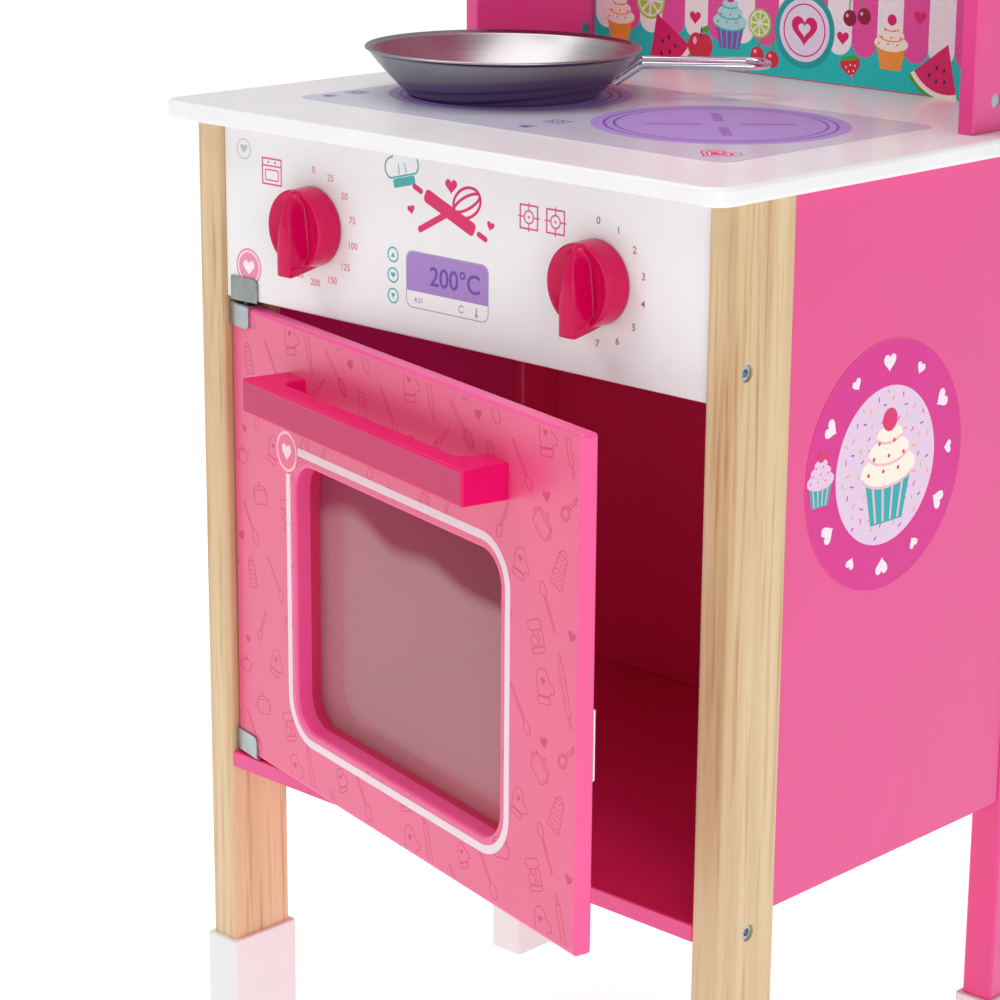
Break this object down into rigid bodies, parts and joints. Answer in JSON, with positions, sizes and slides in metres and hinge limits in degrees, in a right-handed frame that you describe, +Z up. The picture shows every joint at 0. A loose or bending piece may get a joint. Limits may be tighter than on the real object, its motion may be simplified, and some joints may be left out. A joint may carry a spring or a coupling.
{
  "type": "toy kitchen",
  "caption": "Compact wooden toy kitchen with a printed hob and raised back, turning knobs, a side-hinged oven door with a window, and a loose frying pan.",
  "frame": {"origin": "centre of the bottom of the bounding box, on the floor", "axes": "+X to the right seen from the front, +Y towards the back, +Z up"},
  "size_m": [0.37, 0.3675, 0.85],
  "materials": {
    "white_lacquer": "satin lacquer on fibreboard",
    "pine": "clear satin lacquer",
    "white_plastic": "moulded, satin",
    "pink_lacquer": "satin lacquer on fibreboard",
    "printed_back": "printed lacquered fibreboard",
    "hob_print": "printed adhesive film",
    "sticker_print": "printed adhesive film",
    "printed_door": "printed lacquered fibreboard",
    "smoked_acrylic": "clear grey acrylic sheet",
    "pink_gloss_plastic": "glossy injection moulding",
    "pink_satin_strip": "brushed satin foil",
    "zinc_steel": "zinc plated",
    "ferrite": "bare ferrite magnet",
    "stainless_steel": "pressed and brushed",
    "chromed_wire": "bright plated wire"
  },
  "bodies": {
    "cabinet": {"worktop": "white_lacquer", "hob_film": "hob_print", "control_panel": "white_lacquer", "leg_front_right": "pine", "leg_front_left": "pine", "leg_rear_right": "pink_lacquer", "leg_rear_left": "pink_lacquer", "foot_sleeve_front_right": "white_plastic", "foot_sleeve_front_left": "white_plastic", "foot_sleeve_rear_right": "white_plastic", "foot_sleeve_rear_left": "white_plastic", "side_panel_right": "pink_lacquer", "side_panel_left": "pink_lacquer", "floor_cleat_right": "pink_lacquer", "floor_cleat_left": "pink_lacquer", "oven_floor": "pink_lacquer", "oven_back": "pink_lacquer", "worktop_blocks": "pine", "worktop_screws": "zinc_steel", "wing_panel_right": "pink_lacquer", "wing_panel_left": "pink_lacquer", "backsplash": "printed_back", "top_shelf": "pink_lacquer", "wing_barrel_nuts": "zinc_steel", "wing_bolts": "zinc_steel", "backsplash_screws": "zinc_steel", "top_shelf_screws": "zinc_steel", "leg_screws": "zinc_steel", "side_sticker": "sticker_print", "upper_hinge_bracket": "zinc_steel", "upper_hinge_pin": "zinc_steel", "lower_hinge_pin": "zinc_steel", "lower_hinge_washer": "zinc_steel", "catch_body": "white_plastic", "catch_magnet": "ferrite"},
    "door": {"door_panel": "printed_door", "window_frame": "pink_lacquer", "window_pane": "smoked_acrylic", "window_screws": "zinc_steel", "door_handle": "pink_gloss_plastic", "handle_strip": "pink_satin_strip", "handle_screws": "zinc_steel", "upper_door_clip": "zinc_steel", "lower_door_clip": "zinc_steel", "strike_plate": "white_plastic"},
    "oven_knob": {"oven_knob": "pink_gloss_plastic", "oven_knob_spindle": "zinc_steel", "oven_knob_washer": "zinc_steel", "oven_knob_screw": "zinc_steel"},
    "hob_knob": {"hob_knob": "pink_gloss_plastic", "hob_knob_spindle": "zinc_steel", "hob_knob_washer": "zinc_steel", "hob_knob_screw": "zinc_steel"},
    "pan": {"pan_bowl": "stainless_steel", "pan_handle": "chromed_wire"}
  },
  "joints": [
    {"name": "door_hinge", "type": "hinge", "parent": "cabinet", "child": "door", "pos_m": [-0.1522, -0.098, 0.316], "axis": [0, 0, -1], "range_deg": [-13, 92]},
    {"name": "oven_knob_turn", "type": "hinge", "parent": "cabinet", "child": "oven_knob", "pos_m": [-0.095, -0.1025, 0.4868], "axis": [0, 1, 0], "range_deg": [0, 205]},
    {"name": "hob_knob_turn", "type": "hinge", "parent": "cabinet", "child": "hob_knob", "pos_m": [0.095, -0.1025, 0.4868], "axis": [0, 1, 0], "range_deg": [0, 205]},
    {"name": "pan_lift", "type": "slide", "parent": "cabinet", "child": "pan", "axis": [0, 0, 1], "range_m": [0, 0.15]}
  ]
}
